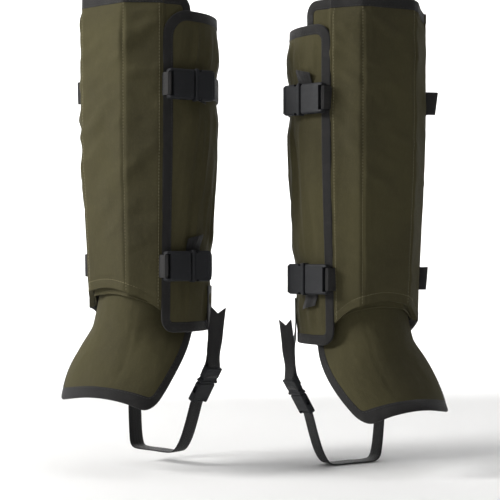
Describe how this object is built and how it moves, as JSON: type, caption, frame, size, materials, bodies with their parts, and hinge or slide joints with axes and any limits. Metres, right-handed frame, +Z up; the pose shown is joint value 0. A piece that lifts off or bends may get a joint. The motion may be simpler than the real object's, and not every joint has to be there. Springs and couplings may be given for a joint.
{
  "type": "pair of leg gaiters",
  "caption": "Pair of stiff protective gaiters for the lower legs, with a wrap-round calf panel, side-release buckles, an instep flap and a strap under each foot.",
  "frame": {"origin": "midway between the wearer's legs at calf height, 240 mm above the ground that the wearer stands on; the wearer's legs hold the pair up there", "axes": "+Z up, -Y the way the wearer faces, +X the wearer's left"},
  "size_m": [0.4165, 0.1849, 0.509],
  "materials": {
    "olive_fabric": "matte ballistic nylon weave",
    "black_tape": "ribbed binding tape",
    "black_webbing": "flat woven webbing",
    "buckle_plastic": "moulded acetal, satin",
    "clear_plate": "smooth polycarbonate"
  },
  "bodies": {
    "right_upper_plug": {"right_upper_buckle_plug": "buckle_plastic"},
    "right_upper_prong_low": {"right_upper_buckle_prong_low": "buckle_plastic"},
    "right_upper_prong_high": {"right_upper_buckle_prong_high": "buckle_plastic"},
    "right_lower_plug": {"right_lower_buckle_plug": "buckle_plastic"},
    "right_lower_prong_low": {"right_lower_buckle_prong_low": "buckle_plastic"},
    "right_lower_prong_high": {"right_lower_buckle_prong_high": "buckle_plastic"},
    "right_foot_plug": {"right_foot_buckle_plug": "buckle_plastic"},
    "right_foot_prong_rear": {"right_foot_buckle_prong_rear": "buckle_plastic"},
    "right_foot_prong_front": {"right_foot_buckle_prong_front": "buckle_plastic"},
    "right_flap": {"right_instep_flap": "olive_fabric", "right_instep_tape": "black_tape"},
    "right_wrap": {"right_calf_panel": "olive_fabric", "right_calf_tape": "black_tape", "right_upper_rear_strap": "black_webbing", "right_lower_rear_strap": "black_webbing", "right_foot_strap_upper": "black_webbing", "right_foot_strap_lower": "black_webbing", "right_foot_buckle_socket": "buckle_plastic"},
    "right_shaft": {"right_shin_panel": "olive_fabric", "right_shin_plate_middle": "clear_plate", "right_shin_plate_outer": "clear_plate", "right_shin_plate_inner": "clear_plate", "right_shin_tape": "black_tape", "right_side_panel": "olive_fabric", "right_upper_side_strap": "black_webbing", "right_upper_buckle_socket": "buckle_plastic", "right_upper_buckle_anchor": "black_webbing", "right_lower_side_strap": "black_webbing", "right_lower_buckle_socket": "buckle_plastic", "right_lower_buckle_anchor": "black_webbing"},
    "left_upper_plug": {"left_upper_buckle_plug": "buckle_plastic"},
    "left_upper_prong_low": {"left_upper_buckle_prong_low": "buckle_plastic"},
    "left_upper_prong_high": {"left_upper_buckle_prong_high": "buckle_plastic"},
    "left_lower_plug": {"left_lower_buckle_plug": "buckle_plastic"},
    "left_lower_prong_low": {"left_lower_buckle_prong_low": "buckle_plastic"},
    "left_lower_prong_high": {"left_lower_buckle_prong_high": "buckle_plastic"},
    "left_foot_plug": {"left_foot_buckle_plug": "buckle_plastic"},
    "left_foot_prong_rear": {"left_foot_buckle_prong_rear": "buckle_plastic"},
    "left_foot_prong_front": {"left_foot_buckle_prong_front": "buckle_plastic"},
    "left_flap": {"left_instep_flap": "olive_fabric", "left_instep_tape": "black_tape"},
    "left_wrap": {"left_calf_panel": "olive_fabric", "left_calf_tape": "black_tape", "left_upper_rear_strap": "black_webbing", "left_lower_rear_strap": "black_webbing", "left_foot_strap_upper": "black_webbing", "left_foot_strap_lower": "black_webbing", "left_foot_buckle_socket": "buckle_plastic"},
    "left_shaft": {"left_shin_panel": "olive_fabric", "left_shin_plate_middle": "clear_plate", "left_shin_plate_outer": "clear_plate", "left_shin_plate_inner": "clear_plate", "left_shin_tape": "black_tape", "left_side_panel": "olive_fabric", "left_upper_side_strap": "black_webbing", "left_upper_buckle_socket": "buckle_plastic", "left_upper_buckle_anchor": "black_webbing", "left_lower_side_strap": "black_webbing", "left_lower_buckle_socket": "buckle_plastic", "left_lower_buckle_anchor": "black_webbing"}
  },
  "joints": [
    {"name": "right_wrap_opening", "type": "hinge", "parent": "right_shaft", "child": "right_wrap", "pos_m": [-0.14995, 0.06233, 0.086], "axis": [0, 0, 1], "range_deg": [0, 65]},
    {"name": "right_flap_lift", "type": "hinge", "parent": "right_shaft", "child": "right_flap", "pos_m": [-0.147, -0.0429, -0.041], "axis": [-0.766, 0.6428, 0], "range_deg": [0, 55]},
    {"name": "right_upper_buckle_pull", "type": "slide", "parent": "right_wrap", "child": "right_upper_plug", "axis": [0.848, 0.5299, 0], "range_m": [0, 0.025]},
    {"name": "right_upper_prong_low_squeeze", "type": "hinge", "parent": "right_upper_plug", "child": "right_upper_prong_low", "pos_m": [-0.05977, -0.06255, 0.1653], "axis": [-0.5299, 0.848, 0], "range_deg": [0, 8], "stiffness_Nm_per_rad": 0.05},
    {"name": "right_upper_prong_high_squeeze", "type": "hinge", "parent": "right_upper_plug", "child": "right_upper_prong_high", "pos_m": [-0.05977, -0.06255, 0.1847], "axis": [0.5299, -0.848, 0], "range_deg": [0, 8], "stiffness_Nm_per_rad": 0.05},
    {"name": "right_lower_buckle_pull", "type": "slide", "parent": "right_wrap", "child": "right_lower_plug", "axis": [0.848, 0.5299, 0], "range_m": [0, 0.025]},
    {"name": "right_lower_prong_low_squeeze", "type": "hinge", "parent": "right_lower_plug", "child": "right_lower_prong_low", "pos_m": [-0.06346, -0.05663, -0.0257], "axis": [-0.5299, 0.848, 0], "range_deg": [0, 8], "stiffness_Nm_per_rad": 0.05},
    {"name": "right_lower_prong_high_squeeze", "type": "hinge", "parent": "right_lower_plug", "child": "right_lower_prong_high", "pos_m": [-0.06346, -0.05663, -0.0063], "axis": [0.5299, -0.848, 0], "range_deg": [0, 8], "stiffness_Nm_per_rad": 0.05},
    {"name": "right_foot_buckle_pull", "type": "slide", "parent": "right_wrap", "child": "right_foot_plug", "axis": [0.421, -0.2362, 0.8758], "range_m": [0, 0.02]},
    {"name": "right_foot_prong_rear_squeeze", "type": "hinge", "parent": "right_foot_plug", "child": "right_foot_prong_rear", "pos_m": [-0.04285, -0.01154, -0.1433], "axis": [-0.6736, 0.5652, 0.4762], "range_deg": [0, 8], "stiffness_Nm_per_rad": 0.05},
    {"name": "right_foot_prong_front_squeeze", "type": "hinge", "parent": "right_foot_plug", "child": "right_foot_prong_front", "pos_m": [-0.05228, -0.0238, -0.14208], "axis": [0.6736, -0.5652, -0.4762], "range_deg": [0, 8], "stiffness_Nm_per_rad": 0.05},
    {"name": "left_wrap_opening", "type": "hinge", "parent": "left_shaft", "child": "left_wrap", "pos_m": [0.16813, 0.05375, 0.072], "axis": [0, 0, -1], "range_deg": [0, 65]},
    {"name": "left_flap_lift", "type": "hinge", "parent": "left_shaft", "child": "left_flap", "pos_m": [0.14515, -0.04898, -0.055], "axis": [-0.8746, -0.4848, 0], "range_deg": [0, 55]},
    {"name": "left_upper_buckle_pull", "type": "slide", "parent": "left_wrap", "child": "left_upper_plug", "axis": [-0.7314, 0.682, 0], "range_m": [0, 0.025]},
    {"name": "left_upper_prong_low_squeeze", "type": "hinge", "parent": "left_upper_plug", "child": "left_upper_prong_low", "pos_m": [0.05577, -0.05163, 0.1513], "axis": [-0.682, -0.7314, 0], "range_deg": [0, 8], "stiffness_Nm_per_rad": 0.05},
    {"name": "left_upper_prong_high_squeeze", "type": "hinge", "parent": "left_upper_plug", "child": "left_upper_prong_high", "pos_m": [0.05577, -0.05163, 0.1707], "axis": [0.682, 0.7314, 0], "range_deg": [0, 8], "stiffness_Nm_per_rad": 0.05},
    {"name": "left_lower_buckle_pull", "type": "slide", "parent": "left_wrap", "child": "left_lower_plug", "axis": [-0.7314, 0.682, 0], "range_m": [0, 0.025]},
    {"name": "left_lower_prong_low_squeeze", "type": "hinge", "parent": "left_lower_plug", "child": "left_lower_prong_low", "pos_m": [0.06053, -0.04652, -0.0397], "axis": [-0.682, -0.7314, 0], "range_deg": [0, 8], "stiffness_Nm_per_rad": 0.05},
    {"name": "left_lower_prong_high_squeeze", "type": "hinge", "parent": "left_lower_plug", "child": "left_lower_prong_high", "pos_m": [0.06053, -0.04652, -0.0203], "axis": [0.682, 0.7314, 0], "range_deg": [0, 8], "stiffness_Nm_per_rad": 0.05},
    {"name": "left_foot_buckle_pull", "type": "slide", "parent": "left_wrap", "child": "left_foot_plug", "axis": [-0.4583, -0.1515, 0.8758], "range_m": [0, 0.02]},
    {"name": "left_foot_prong_rear_squeeze", "type": "hinge", "parent": "left_foot_plug", "child": "left_foot_prong_rear", "pos_m": [0.0489, 0.00168, -0.1573], "axis": [-0.7691, -0.4263, -0.4762], "range_deg": [0, 8], "stiffness_Nm_per_rad": 0.05},
    {"name": "left_foot_prong_front_squeeze", "type": "hinge", "parent": "left_foot_plug", "child": "left_foot_prong_front", "pos_m": [0.05582, -0.01216, -0.15608], "axis": [0.7691, 0.4263, 0.4762], "range_deg": [0, 8], "stiffness_Nm_per_rad": 0.05},
    {"name": "pair_spacing", "type": "slide", "parent": "right_shaft", "child": "left_shaft", "axis": [1, 0, 0], "range_m": [0, 0.25]}
  ],
  "couplings": [
    {"joint": "right_upper_prong_high_squeeze", "follows": "right_upper_prong_low_squeeze", "ratio": 1},
    {"joint": "right_lower_prong_high_squeeze", "follows": "right_lower_prong_low_squeeze", "ratio": 1},
    {"joint": "right_foot_prong_front_squeeze", "follows": "right_foot_prong_rear_squeeze", "ratio": 1},
    {"joint": "left_upper_prong_high_squeeze", "follows": "left_upper_prong_low_squeeze", "ratio": 1},
    {"joint": "left_lower_prong_high_squeeze", "follows": "left_lower_prong_low_squeeze", "ratio": 1},
    {"joint": "left_foot_prong_front_squeeze", "follows": "left_foot_prong_rear_squeeze", "ratio": 1}
  ]
}
